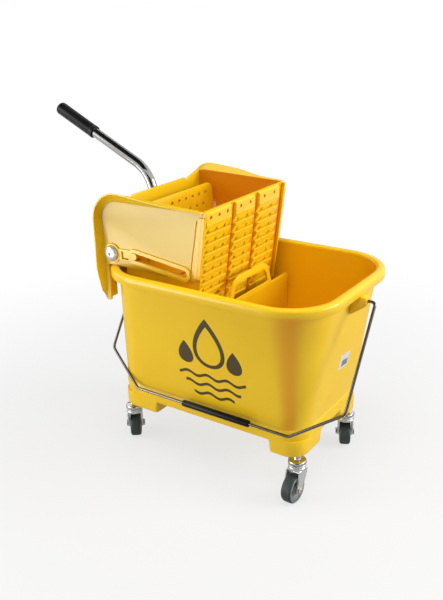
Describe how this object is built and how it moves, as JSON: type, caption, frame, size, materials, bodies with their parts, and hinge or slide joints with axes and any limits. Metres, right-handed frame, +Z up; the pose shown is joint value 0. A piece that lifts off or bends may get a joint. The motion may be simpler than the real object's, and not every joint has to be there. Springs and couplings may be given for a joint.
{
  "type": "wringer mop bucket",
  "caption": "Wheeled yellow mop bucket with a removable side-press wringer, bent tube lever, wire bail and lift-out divider on swivel casters.",
  "frame": {"origin": "on the floor under the middle of the whole part's bounding box", "axes": "+X along the tub from the wringer end to the open end, -Y the side that the bail hangs on, +Z up"},
  "size_m": [0.6554, 0.321, 0.6058],
  "materials": {
    "yellow_plastic": "glossy moulded plastic",
    "bright_steel": "bright plated steel",
    "black_grip": "satin black sleeve",
    "tyre_rubber": "dull dark grey-green rubber",
    "grey_hub": "matte grey plastic"
  },
  "bodies": {
    "tub": {"tub": "yellow_plastic", "caster_stem_near_left": "bright_steel", "caster_stem_near_right": "bright_steel", "caster_stem_far_left": "bright_steel", "caster_stem_far_right": "bright_steel"},
    "wringer": {"wringer_cheek_near": "yellow_plastic", "wringer_cheek_far": "yellow_plastic", "wringer_front_wall": "yellow_plastic", "wringer_rear_wall": "yellow_plastic", "wringer_basket_floor": "yellow_plastic"},
    "lever": {"lever_frame": "bright_steel", "lever_grip": "black_grip", "crank_near": "bright_steel", "crank_far": "bright_steel", "pivot_cap_near": "bright_steel", "pivot_cap_far": "bright_steel"},
    "press": {"press_plate": "yellow_plastic", "press_bracket_near": "yellow_plastic", "press_bracket_far": "yellow_plastic"},
    "bail": {"bail_wire": "bright_steel", "bail_grip": "black_grip"},
    "divider": {"divider": "yellow_plastic"},
    "swivel_near_left": {"caster_fork_near_left": "bright_steel", "caster_axle_near_left": "bright_steel"},
    "wheel_near_left": {"caster_hub_near_left": "grey_hub", "caster_tyre_near_left": "tyre_rubber"},
    "swivel_near_right": {"caster_fork_near_right": "bright_steel", "caster_axle_near_right": "bright_steel"},
    "wheel_near_right": {"caster_hub_near_right": "grey_hub", "caster_tyre_near_right": "tyre_rubber"},
    "swivel_far_left": {"caster_fork_far_left": "bright_steel", "caster_axle_far_left": "bright_steel"},
    "wheel_far_left": {"caster_hub_far_left": "grey_hub", "caster_tyre_far_left": "tyre_rubber"},
    "swivel_far_right": {"caster_fork_far_right": "bright_steel", "caster_axle_far_right": "bright_steel"},
    "wheel_far_right": {"caster_hub_far_right": "grey_hub", "caster_tyre_far_right": "tyre_rubber"}
  },
  "joints": [
    {"name": "wringer_lift", "type": "slide", "parent": "tub", "child": "wringer", "axis": [0, 0, 1], "range_m": [0, 0.3]},
    {"name": "lever_swing", "type": "hinge", "parent": "wringer", "child": "lever", "pos_m": [-0.10382, 0, 0.38112], "axis": [0, -1, 0], "range_deg": [0, 65]},
    {"name": "press_slide", "type": "slide", "parent": "wringer", "child": "press", "axis": [0.9928, 0, -0.1201], "range_m": [0, 0.1041]},
    {"name": "bail_swing", "type": "hinge", "parent": "tub", "child": "bail", "pos_m": [0.09018, 0, 0.33612], "axis": [-1, 0, 0], "range_deg": [0, 132]},
    {"name": "divider_lift", "type": "slide", "parent": "tub", "child": "divider", "axis": [0, 0, 1], "range_m": [0, 0.46]},
    {"name": "swivel_near_left", "type": "hinge", "parent": "tub", "child": "swivel_near_left", "pos_m": [-0.10832, -0.0915, 0.06412], "axis": [0, 0, 1], "continuous": true},
    {"name": "roll_near_left", "type": "hinge", "parent": "swivel_near_left", "child": "wheel_near_left", "pos_m": [-0.11664, -0.08086, 0.02462], "axis": [0.788, 0.6157, 0], "continuous": true},
    {"name": "swivel_near_right", "type": "hinge", "parent": "tub", "child": "swivel_near_right", "pos_m": [0.24168, -0.0915, 0.06412], "axis": [0, 0, 1], "continuous": true},
    {"name": "roll_near_right", "type": "hinge", "parent": "swivel_near_right", "child": "wheel_near_right", "pos_m": [0.2412, -0.10499, 0.02462], "axis": [-0.9994, 0.0349, 0], "continuous": true},
    {"name": "swivel_far_left", "type": "hinge", "parent": "tub", "child": "swivel_far_left", "pos_m": [-0.10832, 0.0915, 0.06412], "axis": [0, 0, 1], "continuous": true},
    {"name": "roll_far_left", "type": "hinge", "parent": "swivel_far_left", "child": "wheel_far_left", "pos_m": [-0.12002, 0.09825, 0.02462], "axis": [0.5, 0.866, 0], "continuous": true},
    {"name": "swivel_far_right", "type": "hinge", "parent": "tub", "child": "swivel_far_right", "pos_m": [0.24168, 0.0915, 0.06412], "axis": [0, 0, 1], "continuous": true},
    {"name": "roll_far_right", "type": "hinge", "parent": "swivel_far_right", "child": "wheel_far_right", "pos_m": [0.23534, 0.10342, 0.02462], "axis": [0.8829, 0.4695, 0], "continuous": true}
  ],
  "couplings": [
    {"joint": "press_slide", "follows": "lever_swing", "m_per_rad": 0.091673}
  ]
}
